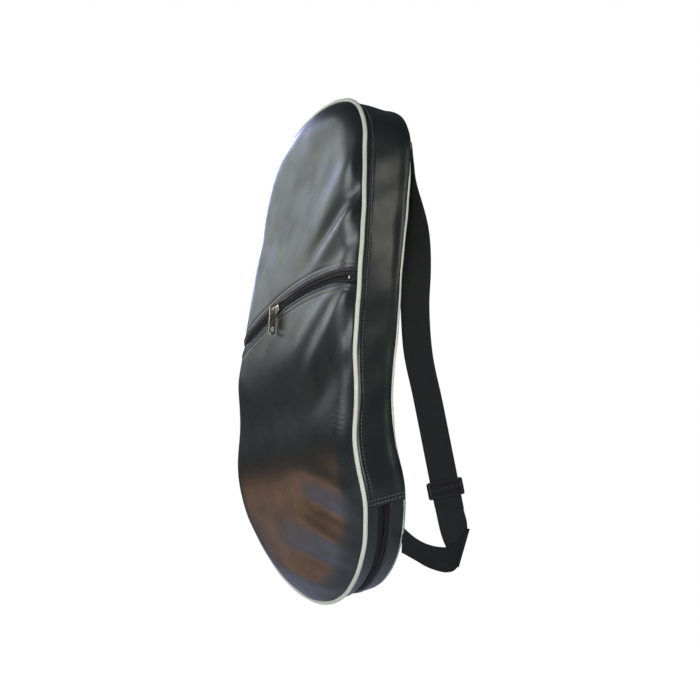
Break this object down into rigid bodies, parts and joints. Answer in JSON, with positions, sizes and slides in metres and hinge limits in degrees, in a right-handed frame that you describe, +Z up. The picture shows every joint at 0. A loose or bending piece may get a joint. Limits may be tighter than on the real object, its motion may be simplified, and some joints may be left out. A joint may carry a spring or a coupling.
{
  "type": "paddle case",
  "caption": "Padded racket cover with crowned faces, piped edges, a curved pocket zip, a foot zip that lets the lower front fold open, and a carrying strap with an adjuster.",
  "frame": {"origin": "middle of the strap's upper end, on the back face near the head, right of centre", "axes": "+Z up as the cover hangs, +X to the wearer's side where the strap is, -Y out of the front face with the pocket zip"},
  "size_m": [0.282, 0.1422, 0.4918],
  "materials": {
    "leather": "satin coated leather, fine grain",
    "piping": "smooth cream cord piping",
    "zip_tape": "woven tape",
    "zip_coil": "spiral coil",
    "nickel": "bright nickel",
    "foam": "quilt padding",
    "lining": "plain woven lining",
    "webbing": "ribbed webbing",
    "moulded_plastic": "satin moulded"
  },
  "bodies": {
    "shell": {"back_lining": "lining", "back_padding": "foam", "back_panel": "leather", "back_piping": "piping", "foot_zip_coil_ends": "zip_coil", "foot_zip_coil_rear": "zip_coil", "foot_zip_tape_ends": "zip_tape", "foot_zip_tape_rear": "zip_tape", "front_lining": "lining", "front_padding": "foam", "front_panel_upper": "leather", "front_piping": "piping", "gusset": "leather", "pocket_bag": "lining", "pocket_front": "leather", "pocket_zip_coil_lower": "zip_coil", "pocket_zip_coil_upper": "zip_coil", "pocket_zip_stops": "nickel", "pocket_zip_tape_lower": "zip_tape", "pocket_zip_tape_upper": "zip_tape", "strap_lower_end": "webbing", "strap_patch": "leather", "strap_webbing": "webbing"},
    "mouth_flap": {"lower_front_flap": "leather", "flap_padding": "foam", "flap_lining": "lining", "flap_zip_strip": "leather", "flap_zip_tape": "zip_tape", "flap_zip_coil": "zip_coil", "flap_piping": "piping"},
    "pocket_slider": {"pocket_zip_slider": "nickel"},
    "pocket_puller": {"pocket_zip_puller": "nickel"},
    "foot_slider": {"foot_zip_slider": "nickel"},
    "foot_puller": {"foot_zip_puller": "nickel"},
    "adjuster": {"strap_adjuster": "moulded_plastic"}
  },
  "joints": [
    {"name": "mouth_flap_fold", "type": "hinge", "parent": "shell", "child": "mouth_flap", "pos_m": [-0.09, -0.06304, -0.36081], "axis": [-1, 0, 0], "range_deg": [0, 60]},
    {"name": "pocket_slider_travel", "type": "hinge", "parent": "shell", "child": "pocket_slider", "pos_m": [-0.041, -0.12927, -0.62136], "axis": [0, -0.9936, 0.1132], "range_deg": [-17.51, 9.76]},
    {"name": "pocket_puller_swing", "type": "hinge", "parent": "pocket_slider", "child": "pocket_puller", "pos_m": [-0.125, -0.08002, -0.12987], "axis": [-0.9858, -0.019, -0.1666], "range_deg": [0, 160]},
    {"name": "foot_slider_travel", "type": "hinge", "parent": "shell", "child": "foot_slider", "pos_m": [-0.09, -0.05742, -0.26973], "axis": [0, -0.9613, -0.2756], "range_deg": [0, 118.2]},
    {"name": "foot_puller_swing", "type": "hinge", "parent": "foot_slider", "child": "foot_puller", "pos_m": [-0.22069, -0.03587, -0.34491], "axis": [0, 0.9613, 0.2756], "range_deg": [-26, 125]},
    {"name": "adjuster_slide", "type": "slide", "parent": "shell", "child": "adjuster", "axis": [0, -0.2102, 0.9777], "range_m": [0, 0.06]}
  ]
}
